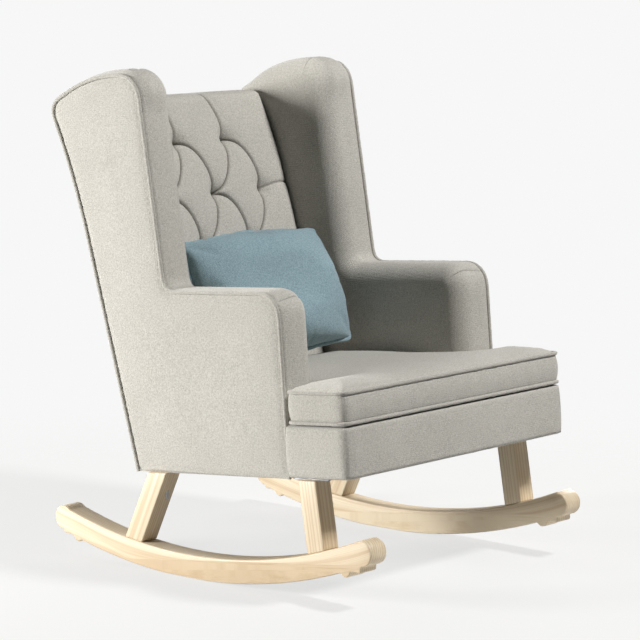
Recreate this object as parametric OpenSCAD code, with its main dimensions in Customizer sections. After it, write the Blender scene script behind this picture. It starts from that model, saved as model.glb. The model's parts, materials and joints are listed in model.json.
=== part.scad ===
// Wingback rocking chair: a reclined upholstered body on four legs and two curved runners.
// +Z is up, the chair faces -Y, and X runs across it. The origin lies in the middle of the
// chair's length and width, on the level that the runners rest on.

/* [Body] */
// Width over the outside side panels
body_width = 700; // [580:1:840]
// How far each end of the wide seat front stands out past the sides
seat_overhang = 17; // [14:0.5:21]
// Width of one arm, from its outside panel to its inside face
arm_width = 105; // [87:0.5:126]
// Height of the wing tops over the floor line, along the body
wing_top = 1088; // [900:1:1310]
// Height of the arm tops, along the body
arm_top = 620; // [515:1:745]
// Height of the underside of the body
body_base = 232; // [193:1:280]
// Angle that the body leans back
recline = 5; // [4:0.5:6]
// Depth of the front face of the seat, ahead of the body's datum
seat_front = 380; // [316:1:456]
// Depth of the front edge of the arms, ahead of the body's datum
arm_front = 206; // [171:1:248]
// Depth of the foot of the back's rear edge, behind the body's datum
back_foot = 236; // [196:1:284]

/* [Seat and back] */
// Height of the upholstered front rail
rail_height = 110; // [91:1:132]
// Thickness of the seat cushion at its edges
cushion_edge = 71; // [59:0.5:86]
// Rise of the cushion's crown above its edges
cushion_crown = 20; // [16:0.5:24]
// Thickness of the whole back, from its front face to its outside panel
back_depth = 82; // [68:0.5:99]
// Drop from the wing tops to the top of the inside back
back_drop = 54; // [45:1:65]

/* [Pillow] */
// Width of the pillow, as a share of the space between the arms
pillow_share = 0.816; // [0.68:0.001:0.95]
// Height of the pillow
pillow_height = 285; // [237:1:342]
// Thickness of the pillow at its middle
pillow_thickness = 160; // [133:1:192]

/* [Runners and legs] */
// Radius of the runners' underside
runner_radius = 1327; // [1105:1:1593]
// Depth of a runner, from its top to its underside
runner_depth = 52; // [43:1:63]
// Thickness of a runner, across the chair
runner_thickness = 52; // [43:1:63]
// How far the runners' front tips reach ahead of the seat's front
runner_overhang = 84; // [70:1:101]
// Place of the runners' rear tips, behind the origin
runner_rear = 452; // [376:1:543]
// Length of the flat that the chair settles on, under each runner
runner_flat = 120; // [100:1:144]
// Side of a leg's square section
leg_size = 48; // [40:0.5:58]

/* [Hidden] */
$fn = 48;
runner_touch = 57;           // place of the runners' lowest point, behind the origin
runner_inset = 17;          // how far a runner's middle lies in from the body's side
body_shift = -53;           // place of the body's datum in the chair's frame
arc_steps = 7;              // pieces in each rounded corner of an outline
runner_steps = 720;         // smoothness of the runners' long arcs
panel_thickness = 6;        // padded outside panel
frame_thickness = 24;       // sawn side frame
border_thickness = 12;      // padding over the frame's edge
border_width = arm_width - 29; // border band, across the chair
welt_reach = 3;             // how far a welt stands proud
welt_seat = 4;              // how far a welt is let in
welt_thickness = 8;         // welt, across the chair
back_slope = 0.205;          // slope of the rear edge over its straight lower part
back_bend = 0.00036;         // how fast that slope grows above it
straight_rise = 520;         // height of that straight part
rear_foot = body_base - 4;   // height that the rear edge is measured from
rear_step = 40;              // the rear edge is straight between stations this far apart
plate_thickness = 4;        // steel plate between a leg and the frame
timber_base = body_base + plate_thickness;
rail_stock = 24;            // thickness of the seat rails
rail_top = timber_base + rail_height - 20;
web_thickness = 2;
web_width = 50;
outer_half = body_width / 2;
seat_width = body_width + 2 * seat_overhang;
back_top = wing_top - back_drop;
rear_corner = wing_top - 78; // height of the wings' rear corners
edge_top = rear_corner - 6;  // top of the straight rear edge
frame_top = edge_top - 2;    // top of the back's timber
runner_offset = outer_half - runner_inset;
runner_front = seat_front + runner_overhang;
runner_middle = (runner_rear - runner_front) / 2;
runner_length = runner_rear + runner_front;
runner_centre = sqrt(pow(runner_radius, 2) - pow(runner_flat / 2, 2)); // height of the curve's centre
panel_in = outer_half - panel_thickness;
frame_in = panel_in - frame_thickness;
pad_in = outer_half - arm_width;
cover_top = body_base + 6 + rail_height - 2;
deck_top = cover_top + 1;
deck_base = rail_top + 2 * web_thickness;
ear_back = -arm_front - 16;  // rear of the cushion's ears
return_back = -arm_front - 10; // rear of the front rail's returns
stock_out = panel_in + 1;    // outer face of the return rails
back_web = 33;               // front face of the back frame, ahead of the outside back
back_pad_rear = back_web + web_thickness;
back_half = pad_in - 2;
cushion_half = pad_in - 5;
cushion_base = deck_top + 2;
cushion_top = cushion_base + cushion_edge;
cushion_back = rear_y(cushion_base) - back_depth - 6;
tuft_rows = 4;
tuft_pitch_x = 0.638 * back_half;
tuft_pitch_z = 0.172 * (back_top - deck_top);
tuft_first_z = back_top - 0.153 * (back_top - deck_top);
pillow_lean = 22;            // angle that the pillow leans back, past the body's own lean
pillow_turn = 6;             // angle that its right end is turned forward
pillow_edge = 60;            // thickness of the stuffed pillow at its rim
pillow_clear = 8;            // room between the back and the pillow's rear corner
piping_reach = 5;            // how far the pillow's piping stands out
pillow_width = 2 * pad_in * pillow_share;
pillow_x = -(pad_in - pillow_width / 2 - piping_reach - 10);
pillow_z = cushion_top + cushion_crown + 0.5
    + (pillow_height / 2 + piping_reach) * cos(pillow_lean) + pillow_edge / 2 * sin(pillow_lean);
pillow_gap = pillow_width / 2 * sin(pillow_turn) + pillow_clear;
pillow_y = rear_y(pillow_z) - back_depth - pillow_thickness / 2 - pillow_gap;

wood = [0.90, 0.80, 0.64];
frame_wood = [0.78, 0.64, 0.44];
cloth = [0.74, 0.72, 0.67];
pillow_cloth = [0.33, 0.47, 0.53];
steel = [0.62, 0.63, 0.65];
web_cloth = [0.30, 0.28, 0.25];

// ---------- outlines ----------

function unit(v) = v / norm(v);
function turned(v, a) = [v.x * cos(a) - v.y * sin(a), v.x * sin(a) + v.y * cos(a)];

// Points that round the corner b, between a and c, with the radius r
function corner(a, b, c, r) =
    let (u = unit(a - b), v = unit(c - b), half = acos(u * v) / 2,
         centre = b + unit(u + v) * r / sin(half),
         s = b + u * r / tan(half) - centre, e = b + v * r / tan(half) - centre,
         sweep = atan2(cross(s, e), s * e))
    [for (i = [0 : arc_steps]) centre + turned(s, sweep * i / arc_steps)];

function flat(p) = [p[0], p[1]];

// An open path through [x, y, radius] points, with its inner corners rounded
function rounded_path(p) = [
    for (i = [0 : len(p) - 1])
        each (i == 0 || i == len(p) - 1 || p[i][2] <= 0)
            ? [flat(p[i])]
            : corner(flat(p[i - 1]), flat(p[i]), flat(p[i + 1]), p[i][2])];

// A closed outline through [x, y, radius] points
function rounded_loop(p) =
    let (n = len(p))
    [for (i = [0 : n - 1])
        each p[i][2] <= 0
            ? [flat(p[i])]
            : corner(flat(p[(i + n - 1) % n]), flat(p[i]), flat(p[(i + 1) % n]), p[i][2])];

function reversed(p) = [for (i = [len(p) - 1 : -1 : 0]) p[i]];

// The back edge of the body rises straight, then sweeps backward
function swept(rise) =
    back_foot + back_slope * rise + back_bend * pow(max(0, rise - straight_rise), 2);

// Depth of the back edge at a height, on the straight between two stations
function rear_y(z) =
    let (i = floor((z - rear_foot) / rear_step), share = (z - rear_foot) / rear_step - i)
    (1 - share) * swept(i * rear_step) + share * swept((i + 1) * rear_step);

// Back edge, moved forward by d, from z0 up to z1, through every station between
function rear_path(d, z0, z1) =
    let (first = floor((z0 - rear_foot) / rear_step) + 1, last = ceil((z1 - rear_foot) / rear_step) - 1)
    concat([[rear_y(z0) - d, z0]],
           [for (i = [first : 1 : last]) [rear_y(rear_foot + i * rear_step) - d, rear_foot + i * rear_step]],
           [[rear_y(z1) - d, z1]]);

arm_radius = 50;             // rounding of an arm's front corner
wing_foot = 118;             // depth of the foot of the wing's front edge
wing_reach = 264;            // how far the wing's top front corner lies ahead of its rear corner
wing_crest = 121;            // how far the crest of the wing's top lies ahead of its rear corner
wing_radius = 56;
crest_radius = 330;          // rounding of the wing's crest

// Front of the arm, top of the arm, front and top of the wing, moved inward by d
function front_path(d, base) = rounded_path([
    [-arm_front + d, base, 0],
    [-arm_front + d, arm_top - d, arm_radius - d],
    [wing_foot + d, arm_top + 4 - d, 24 + d],
    [rear_y(rear_corner) - wing_reach + d, wing_top - d, wing_radius - d],
    [rear_y(rear_corner) - wing_crest, wing_top + 2 - d, crest_radius - d],
    [rear_y(rear_corner) + 3 - d, rear_corner + 26 - d / 2, 28 - d],
    [rear_y(edge_top) - d, edge_top, 0]]);

module side_outline(d_front, d_rear, base) {
    polygon(concat(
        front_path(d_front, base),
        reversed(rear_path(d_rear, base, edge_top - 1))));
}

module strip(outer, inner) {
    polygon(concat(outer, reversed(inner)));
}

// A slice of the back, between two depths and two heights
module back_slice(d0, d1, z0, z1) {
    strip(rear_path(d0, z0, z1), rear_path(d1, z0, z1));
}

// ---------- placing ----------

module in_body() {
    translate([0, body_shift, 0]) rotate([-recline, 0, 0]) children();
}

// Stands an outline drawn in depth and height up, from x0 to x1
module across(x0, x1) {
    translate([x0, 0, 0]) rotate([90, 0, 90]) linear_extrude(height = x1 - x0) children();
}

// side is 1 for the right and -1 for the left
module on_side(side) {
    if (side > 0) children();
    else mirror([1, 0, 0]) children();
}

// A box given by its lowest and highest corners
module block(low, high) {
    translate(low) cube(high - low);
}

// ---------- runners and legs ----------

leg_overlap = 30;
dowel_r = 6;
dowel_gap = 0.1;
bolt_r = 4;
screw_r = 2.2;
// Place of each leg: middle of its top in the body's frame, and of its foot on the runner
leg_tops = [123 - seat_front, back_foot - 64];
leg_feet = [leg_tops[0] - 57, leg_tops[1] + 39];

function arc_z(y, r) = runner_centre - sqrt(r * r - pow(y - runner_touch, 2));
function body_point(y, z) = [
    y * cos(recline) + z * sin(recline) + body_shift,
    z * cos(recline) - y * sin(recline)];
function leg_foot(i) = [leg_feet[i], arc_z(leg_feet[i], runner_radius - runner_depth)];
function leg_rake(i) =
    let (run = body_point(leg_tops[i], body_base) - leg_foot(i)) atan2(-run.x, run.y);

module disc(y, z, r) {
    translate([y, z]) circle(r = r);
}

// A disc about the centre of the runners' curve
module runner_disc(r) {
    translate([runner_touch, runner_centre]) circle(r = r, $fn = runner_steps);
}

scroll_r = 27;

// One end of a runner: a rounded scroll with a small heel beneath it.
// dir is -1 at the front and 1 at the rear.
module runner_end(dir, lift, heel_in, heel_drop) {
    heel_r = 14;
    tip = runner_middle + dir * (runner_length / 2 - scroll_r);
    heel = runner_middle + dir * (runner_length / 2 - heel_in);
    heel_z = arc_z(heel, runner_radius) + heel_r - heel_drop;
    difference() {
        union() {
            disc(tip, arc_z(tip, runner_radius) + scroll_r + lift, scroll_r);
            disc(heel, heel_z, heel_r);
            translate([min(tip, heel), heel_z])
                square([abs(tip - heel), scroll_r]);
        }
        disc((tip + heel) / 2 + dir * 3, heel_z - 9, 11);
    }
}

module runner_outline() {
    intersection() {
        difference() {
            runner_disc(runner_radius);
            runner_disc(runner_radius - runner_depth);
        }
        translate([scroll_r - runner_front, 0])
            square([runner_length - 2 * scroll_r, runner_radius / 2]);
    }
    runner_end(-1, 0, 69, 12);
    runner_end(1, 2, 72, 7);
}

module dowel_hole_set(r, reach) {
    for (i = [0, 1], step = [-12, 12])
        translate([runner_offset + step, leg_foot(i)[0], leg_foot(i)[1]])
            rotate([leg_rake(i), 0, 0])
                cylinder(r = r, h = 2 * reach, center = true);
}

module runner(side) {
    color(wood)
        on_side(side)
            difference() {
                across(runner_offset - runner_thickness / 2, runner_offset + runner_thickness / 2)
                    runner_outline();
                dowel_hole_set(dowel_r + dowel_gap, leg_overlap + 1);
            }
}

module bolt_place(i) {
    translate([runner_offset - 3, leg_tops[i], body_base]) children();
}

module leg(side, i) {
    color(wood)
        on_side(side)
            difference() {
                intersection() {
                    translate([runner_offset, leg_foot(i)[0], leg_foot(i)[1]])
                        rotate([leg_rake(i), 0, 0])
                            translate([-leg_size / 2, -leg_size / 2, -leg_size])
                                cube([leg_size, leg_size, 4 * leg_size + body_base]);
                    across(runner_offset - leg_size, runner_offset + leg_size)
                        runner_disc(runner_radius - runner_depth);
                    in_body()
                        block([0, -seat_front, -200], [seat_width, seat_front, body_base]);
                }
                dowel_hole_set(dowel_r + dowel_gap, leg_overlap + 1);
                in_body()
                    bolt_place(i) translate([0, 0, -61]) cylinder(r = bolt_r + dowel_gap, h = 62);
            }
}

module runner_dowels() {
    color(frame_wood)
        for (side = [-1, 1])
            on_side(side) dowel_hole_set(dowel_r, leg_overlap);
}

module leg_plates() {
    plate_half_y = 48;
    color(steel)
        in_body()
            for (side = [-1, 1], i = [0, 1])
                on_side(side)
                    difference() {
                        block([frame_in - 20, leg_tops[i] - plate_half_y, body_base],
                              [panel_in - 1, leg_tops[i] + plate_half_y, timber_base]);
                        bolt_place(i) translate([0, 0, -1]) cylinder(r = bolt_r + dowel_gap, h = 6);
                        screw_places(i) translate([0, 0, -1]) cylinder(r = screw_r + dowel_gap, h = 6);
                    }
}

module leg_bolts() {
    color(steel)
        in_body()
            for (side = [-1, 1], i = [0, 1])
                on_side(side) bolt_place(i) translate([0, 0, -60]) cylinder(r = bolt_r, h = 64);
}

module screw_places(i) {
    for (step = [-38, 38])
        translate([frame_in + frame_thickness / 2, leg_tops[i] + step, body_base]) children();
}

module screw_holes(i) {
    screw_places(i) cylinder(r = screw_r + dowel_gap, h = 31);
}

module plate_screws() {
    color(steel)
        in_body()
            for (side = [-1, 1], i = [0, 1])
                on_side(side)
                    screw_places(i) {
                        cylinder(r = screw_r, h = 30);
                        translate([0, 0, -2]) cylinder(r = 2 * screw_r, h = 2);
                    }
}

// Screws that hold each side frame to its seat rail
module frame_screw_set(r, reach) {
    for (share = [0.15, 0.45, 0.75])
        translate([panel_in, share * (arm_front + back_foot) - arm_front, (timber_base + rail_top) / 2])
            rotate([0, -90, 0]) cylinder(r = r, h = reach);
}

module frame_screws() {
    color(steel)
        in_body()
            for (side = [-1, 1])
                on_side(side) frame_screw_set(screw_r, 44);
}

// ---------- timber frame ----------

front_rail_y = -seat_front + 18;

module seat_rail_front() {
    color(frame_wood)
        in_body()
            block([-stock_out, front_rail_y, timber_base],
                  [stock_out, front_rail_y + rail_stock, rail_top]);
}

module seat_rail_side(side) {
    color(frame_wood)
        in_body()
            on_side(side)
                difference() {
                    across(frame_in - rail_stock, frame_in)
                        polygon(concat(
                            [[front_rail_y + rail_stock, rail_top + web_thickness],
                             [front_rail_y + rail_stock, timber_base]],
                            rear_path(back_web, timber_base, rail_top + web_thickness)));
                    frame_screw_set(screw_r + dowel_gap, 45);
                }
}

module return_rail(side) {
    color(frame_wood)
        in_body()
            on_side(side)
                difference() {
                    block([frame_in, front_rail_y + rail_stock, timber_base],
                          [stock_out, return_back, rail_top]);
                    screw_holes(0);
                }
}

module seat_rail_rear() {
    color(frame_wood)
        in_body()
            across(-frame_in + 30, frame_in - 30)
                back_slice(5, back_web, timber_base, rail_top);
}

module corner_blocks() {
    leg = 44;
    inner = frame_in - rail_stock;
    front = front_rail_y + rail_stock;
    rear = rear_y(timber_base) - back_web;
    color(frame_wood)
        in_body()
            for (side = [-1, 1])
                on_side(side)
                    translate([0, 0, timber_base + 8])
                        linear_extrude(height = rail_top - timber_base - 20) {
                            polygon([[inner, front], [inner, front + leg], [inner - leg, front]]);
                            polygon([[inner, rear - 1], [inner, rear - leg], [inner - leg, rear - 1]]);
                        }
}

module side_frame(side) {
    color(frame_wood)
        in_body()
            on_side(side)
                difference() {
                    across(frame_in, panel_in)
                        side_outline(border_thickness, 5, timber_base);
                    frame_screw_set(screw_r + dowel_gap, 45);
                    screw_holes(1);
                }
}

module back_stile(side) {
    color(frame_wood)
        in_body()
            on_side(side)
                across(frame_in - 30, frame_in)
                    back_slice(5, back_web, timber_base, frame_top);
}

module back_rail(z0, z1) {
    color(frame_wood)
        in_body()
            across(-frame_in + 30, frame_in - 30)
                back_slice(5, back_web, z0, z1);
}

module seat_webbing_long() {
    color(web_cloth)
        in_body()
            for (i = [-2 : 2])
                translate([i * 2 * pad_in / 5, 0, 0])
                    block([-web_width / 2, front_rail_y, rail_top],
                          [web_width / 2, rear_y(rail_top) - back_web, rail_top + web_thickness]);
}

module seat_webbing_cross() {
    margin = 46;
    span = rear_y(rail_top) - back_web - front_rail_y - web_width - 2 * margin;
    color(web_cloth)
        in_body()
            for (i = [0 : 4])
                translate([0, front_rail_y + margin + i * span / 4, 0])
                    block([-frame_in, 0, rail_top + web_thickness], [frame_in, web_width, deck_base]);
}

module back_webbing() {
    straps = 6;
    first = timber_base + 170;
    span = frame_top - web_width - 4 - first;
    color(web_cloth)
        in_body()
            for (i = [0 : straps - 1])
                across(-frame_in + 4, frame_in - 4)
                    let (z = first + span * i / (straps - 1))
                        back_slice(back_web, back_pad_rear, z, z + web_width);
}

// ---------- upholstery on the frame ----------

module seat_deck() {
    color(cloth)
        in_body()
            block([-pad_in, return_back, deck_base],
                  [pad_in, rear_y(deck_base) - back_depth - 2, deck_top]);
}

module front_rail_cover() {
    half = seat_width / 2;
    edge = 14;
    base = body_base + 6;
    color(cloth)
        in_body()
            difference() {
                translate([0, 0, base])
                    linear_extrude(height = cover_top - base)
                        polygon(rounded_loop([
                            [-half, -seat_front, edge], [half, -seat_front, edge],
                            [half, return_back, 0], [-half, return_back, 0]]));
                block([-stock_out, front_rail_y, base - 1], [stock_out, return_back + 1, deck_base]);
            }
}

module outside_panel(side) {
    color(cloth)
        in_body()
            on_side(side)
                across(panel_in, outer_half)
                    side_outline(welt_seat, welt_seat, body_base);
}

module side_welt(side) {
    color(cloth)
        in_body()
            on_side(side)
                across(panel_in, panel_in + welt_thickness) {
                    strip(front_path(-welt_reach, body_base), front_path(welt_seat, body_base));
                    back_slice(-welt_reach, welt_seat, body_base, edge_top);
                }
}

module border_strip(base) {
    strip(front_path(0, base), front_path(border_thickness, base));
}

// Above the seat the band is as wide as the arm's face; below it, only as wide as the frame
module border_band(side) {
    color(cloth)
        in_body()
            on_side(side) {
                across(panel_in - border_width, panel_in) border_strip(deck_top);
                across(frame_in, panel_in) border_strip(body_base + 2);
            }
}

module inside_pad(side) {
    color(cloth)
        in_body()
            on_side(side)
                across(pad_in, frame_in)
                    difference() {
                        side_outline(border_thickness, border_thickness, deck_base);
                        back_slice(0, back_pad_rear, deck_base - 1, frame_top + 1);
                    }
}

// Places of the tufts: rows of two and three, set in diamonds
tuft_places = [
    for (row = [0 : tuft_rows - 1])
        let (count = 2 + row % 2, z = tuft_first_z - row * tuft_pitch_z)
        for (i = [0 : count - 1]) [(i - (count - 1) / 2) * tuft_pitch_x, z]];

module tuft_rods(r, d0, d1) {
    for (p = tuft_places)
        translate([p[0], rear_y(p[1]) - d0, p[1]])
            rotate([90, 0, 0]) cylinder(r = r, h = d1 - d0, $fn = 16);
}

module back_pad() {
    color(cloth)
        in_body()
            difference() {
                across(-back_half, back_half)
                    back_slice(back_pad_rear, back_depth, deck_top + 2, back_top);
                tuft_rods(3, back_pad_rear - 4, back_depth + 4);
            }
}

module tuft_ties() {
    color(web_cloth)
        in_body() tuft_rods(2, back_pad_rear + 1, back_depth - 8);
}

module tuft_toggles() {
    color(web_cloth)
        in_body() tuft_rods(7, back_web - 8, back_web - 3);
}

module outside_back() {
    color(cloth)
        in_body()
            union() {
                across(-panel_in, panel_in) back_slice(0, 5, body_base, edge_top);
                across(-back_half, back_half) back_slice(0, 5, edge_top - 1, back_top);
            }
}

module dust_cover() {
    reach = frame_in - 22;
    color(web_cloth)
        in_body()
            block([-reach, front_rail_y + 2, timber_base - 2],
                  [reach, rear_y(timber_base) - 8, timber_base]);
}

// ---------- loose seat cushion ----------

module cushion_outline(d) {
    ear = seat_width / 2 + d;
    half = cushion_half + d;
    front = -seat_front - d;
    back = cushion_back + d;
    notch = ear_back + d;
    r = 18;
    polygon(rounded_loop([
        [-ear, front, r], [ear, front, r], [ear, notch, r], [half, notch, 6],
        [half, back, r], [-half, back, r], [-half, notch, 6], [-ear, notch, r]]));
}

module cushion_layer(d, z0, z1) {
    translate([0, 0, z0]) linear_extrude(height = z1 - z0) cushion_outline(d);
}

// The stuffed cushion, drawn in by a skin thickness t
module cushion_solid(t) {
    cushion_layer(-welt_seat - t, cushion_base + t, cushion_top - t);
    cushion_layer(-t, cushion_base + welt_thickness + t, cushion_top - welt_thickness - t);
    cushion_layer(-22 - t, cushion_top - t, cushion_top + cushion_crown / 2 - t);
    cushion_layer(-44 - t, cushion_top - t, cushion_top + cushion_crown - t);
}

module cushion_core() {
    color([0.92, 0.88, 0.74])
        in_body() cushion_solid(3);
}

module cushion_cover() {
    color(cloth)
        in_body()
            difference() {
                cushion_solid(0);
                cushion_solid(3);
            }
}

module cushion_welts() {
    color(cloth)
        in_body()
            for (z = [cushion_base, cushion_top - welt_thickness])
                difference() {
                    cushion_layer(welt_reach, z, z + welt_thickness);
                    cushion_layer(-welt_seat, z - 1, z + welt_thickness + 1);
                }
}

// ---------- loose pillow ----------

module in_pillow() {
    in_body()
        translate([pillow_x, pillow_y, pillow_z])
            rotate([0, 0, -pillow_turn]) rotate([-pillow_lean, 0, 0]) children();
}

module pillow_layer(inset, thick) {
    w = pillow_width / 2 - inset;
    h = pillow_height / 2 - inset;
    rotate([90, 0, 0])
        linear_extrude(height = thick, center = true)
            polygon(rounded_loop([[-w, -h, 12], [w, -h, 12], [w, h, 12], [-w, h, 12]]));
}

module pillow_solid(t) {
    pillow_layer(t, pillow_edge - 2 * t);
    pillow_layer(35 + t, (pillow_edge + pillow_thickness) / 2 + 8 - 2 * t);
    pillow_layer(75 + t, pillow_thickness - 2 * t);
}

module pillow_insert() {
    color([0.93, 0.92, 0.88])
        in_pillow() pillow_solid(2);
}

module pillow_cover() {
    color(pillow_cloth)
        in_pillow()
            difference() {
                pillow_solid(0);
                pillow_solid(2);
            }
}

module pillow_piping() {
    color(pillow_cloth)
        in_pillow()
            difference() {
                pillow_layer(-piping_reach, welt_thickness);
                pillow_layer(0, welt_thickness + 2);
            }
}

// ---------- the assembly ----------

runner(-1);  // runner_left
runner(1);  // runner_right
leg(-1, 0);  // leg_front_left
leg(1, 0);  // leg_front_right
leg(-1, 1);  // leg_rear_left
leg(1, 1);  // leg_rear_right
runner_dowels();
leg_plates();
leg_bolts();
plate_screws();
frame_screws();
seat_rail_front();
seat_rail_side(-1);  // seat_rail_left
seat_rail_side(1);  // seat_rail_right
seat_rail_rear();
return_rail(-1);  // return_rail_left
return_rail(1);  // return_rail_right
corner_blocks();
side_frame(-1);  // side_frame_left
side_frame(1);  // side_frame_right
back_stile(-1);  // back_stile_left
back_stile(1);  // back_stile_right
back_rail(tuft_first_z + 12, frame_top);  // back_rail_top
back_rail(timber_base + 130, timber_base + 190);  // back_rail_lower
seat_webbing_long();
seat_webbing_cross();
back_webbing();
seat_deck();
front_rail_cover();
outside_panel(-1);  // outside_panel_left
outside_panel(1);  // outside_panel_right
side_welt(-1);  // side_welt_left
side_welt(1);  // side_welt_right
border_band(-1);  // border_band_left
border_band(1);  // border_band_right
inside_pad(-1);  // inside_pad_left
inside_pad(1);  // inside_pad_right
back_pad();
tuft_ties();
tuft_toggles();
outside_back();
dust_cover();
cushion_core();
cushion_cover();
cushion_welts();
pillow_insert();
pillow_cover();
pillow_piping();
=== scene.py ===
import json
import math

import bmesh
import bpy
import numpy as np
from mathutils import Matrix, Vector
from mathutils.geometry import delaunay_2d_cdt


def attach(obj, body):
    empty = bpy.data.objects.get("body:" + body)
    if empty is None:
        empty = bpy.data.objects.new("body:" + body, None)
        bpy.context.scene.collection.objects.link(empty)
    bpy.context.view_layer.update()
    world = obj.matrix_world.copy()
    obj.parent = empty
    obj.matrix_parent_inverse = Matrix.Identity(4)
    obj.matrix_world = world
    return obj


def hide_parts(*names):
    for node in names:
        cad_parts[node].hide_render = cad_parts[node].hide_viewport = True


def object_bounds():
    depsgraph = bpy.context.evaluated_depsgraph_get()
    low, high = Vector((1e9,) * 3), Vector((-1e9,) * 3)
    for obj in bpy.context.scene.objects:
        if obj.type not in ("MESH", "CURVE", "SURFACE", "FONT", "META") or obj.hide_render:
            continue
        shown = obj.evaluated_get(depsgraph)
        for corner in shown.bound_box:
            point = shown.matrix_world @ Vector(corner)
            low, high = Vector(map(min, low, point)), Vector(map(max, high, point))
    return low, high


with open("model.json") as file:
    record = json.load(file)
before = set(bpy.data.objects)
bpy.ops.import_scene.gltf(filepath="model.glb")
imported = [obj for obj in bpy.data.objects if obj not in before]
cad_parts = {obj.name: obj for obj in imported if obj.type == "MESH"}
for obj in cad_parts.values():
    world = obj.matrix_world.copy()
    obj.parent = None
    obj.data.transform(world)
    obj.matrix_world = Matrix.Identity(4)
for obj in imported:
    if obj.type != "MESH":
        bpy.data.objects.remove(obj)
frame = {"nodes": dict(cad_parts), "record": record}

# A wingback rocking chair: ash runners and legs, wool upholstery with welts, a diamond-tufted
# back, a loose T-shaped seat cushion and a linen pillow. Lengths are in metres. Upholstery is
# drawn in body axes, which lean back with the body: across, ahead to behind, and up the body.

CAD_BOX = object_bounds()
RECORD = frame["record"]
LIFT = next(j["axis"] for j in RECORD["behaviour"]["joints"] if j["name"] == "cushion_lift")
LEAN = math.atan2(LIFT[1], LIFT[2])
TO_ROW = np.array(Matrix.Rotation(-LEAN, 3, "X"))
TO_BODY = TO_ROW.T

WHITE = (1.0, 1.0, 1.0)
WELT_RADIUS = 0.0042
SEAM_PITCH = 0.006       # spacing of points along an outline
PATCH_PITCH = 0.011      # spacing of points inside a panel
TUFT_DEPTH = 0.020       # how far a tuft pulls the back in
CREASE_DEPTH = 0.011     # how far the cloth sinks beside a pleat
PLEAT_DEPTH = 0.006      # extra depth of the narrow fold itself
BAND_ROUND = 0.042       # rounding between the border band and the inside of an arm or a wing
SEAM_IN = 0.004          # how far the border band starts inside its outline
REAR_IN = 0.005          # how far the sides' stuffing stops short of the outside back
BOXING_FULL = 0.006      # how far the cushion's boxing swells past its welts


# ---------- reading the CAD model ----------

def cad_points(node, axes=TO_BODY):
    """Corners of a CAD node, turned into body axes, or kept in the row frame with np.eye(3)."""
    obj = frame["nodes"][node]
    points = np.array([obj.matrix_world @ v.co for v in obj.data.vertices])
    return points @ axes.T


def cad_box(node):
    """Lowest and highest corner of a CAD node, in body axes."""
    points = cad_points(node)
    return points.min(0), points.max(0)


def side_loop(node, side, axes=TO_BODY):
    """Outline of the flat face that closes a CAD node on the left (-1) or the right (1)."""
    mesh = frame["nodes"][node].data
    points = cad_points(node, axes)
    face_x = side * (side * points[:, 0]).max()
    keys = [tuple(np.round(p, 5)) for p in points]
    uses = {}
    for polygon in mesh.polygons:
        ring = [keys[i] for i in polygon.vertices]
        if all(abs(p[0] - face_x) < 2e-5 for p in ring):
            for a, b in zip(ring, ring[1:] + ring[:1]):
                uses[(a, b)] = uses.get((a, b), 0) + 1
    follows = {a: b for (a, b) in uses if (b, a) not in uses}
    start = max(follows, key=lambda p: (p[2] < min(q[2] for q in follows) + 1e-3, -p[1]))
    loop = [start]
    while follows[loop[-1]] != start:
        loop.append(follows[loop[-1]])
    return np.array(loop)[:, 1:]


# ---------- outlines ----------

def run_along(path):
    """Length of a path up to each of its points."""
    return np.concatenate([[0], np.cumsum(np.linalg.norm(np.diff(path, axis=0), axis=1))])


def read_at(places, run, values):
    """Values given along a run, read at other places on it."""
    return np.stack([np.interp(places, run, values[:, i]) for i in range(values.shape[1])], 1)


def resample(path, pitch, closed=False):
    """The same path with its points evenly spaced, about a pitch apart."""
    path = np.asarray(path, float)
    if closed:
        path = np.vstack([path, path[:1]])
    run = run_along(path)
    count = max(2, int(round(run[-1] / pitch)))
    places = np.linspace(0, run[-1], count + 1)
    if closed:
        places = places[:-1]
    return read_at(places, run, path)


def ease(share):
    """A share from 0 to 1 that starts and ends level."""
    share = np.clip(share, 0, 1)
    return share * share * (3 - 2 * share)


def soften(path, rounds, closed=False):
    """Evens out the corners of a sampled path."""
    path = path.copy()
    for _ in range(rounds):
        if closed:
            path = (np.roll(path, 1, 0) + 2 * path + np.roll(path, -1, 0)) / 4
        else:
            path[1:-1] = (path[:-2] + 2 * path[1:-1] + path[2:]) / 4
    return path


def signed_area(loop):
    """Area of an outline, positive when it runs counter-clockwise."""
    x, y = loop[:, 0], loop[:, 1]
    return 0.5 * float(np.sum(x * np.roll(y, -1) - y * np.roll(x, -1)))


def inward(path, closed=False):
    """Unit normals of a path that runs counter-clockwise, pointing inward (to its left)."""
    if closed:
        ahead = np.roll(path, -1, 0) - np.roll(path, 1, 0)
    else:
        ahead = np.gradient(path, axis=0)
    normal = np.stack([-ahead[:, 1], ahead[:, 0]], 1)
    return normal / np.linalg.norm(normal, axis=1, keepdims=True)


def distance_to(points, path, closed=True):
    """Distance from each point to a path."""
    a = path
    b = np.roll(path, -1, 0)
    if not closed:
        a, b = path[:-1], path[1:]
    best = np.full(len(points), 1e9)
    for p, q in zip(a, b):
        d = q - p
        t = np.clip(((points - p) @ d) / max(d @ d, 1e-12), 0, 1)
        gap = points - (p + t[:, None] * d)
        best = np.minimum(best, np.einsum("ij,ij->i", gap, gap))
    return np.sqrt(best)


def inside(points, loop):
    """Which points lie inside an outline."""
    x, y = points[:, 0], points[:, 1]
    hit = np.zeros(len(points), bool)
    for (x0, y0), (x1, y1) in zip(loop, np.roll(loop, -1, 0)):
        crosses = (y0 > y) != (y1 > y)
        if y0 != y1:
            hit ^= crosses & (x < (x1 - x0) * (y - y0) / (y1 - y0) + x0)
    return hit


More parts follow.
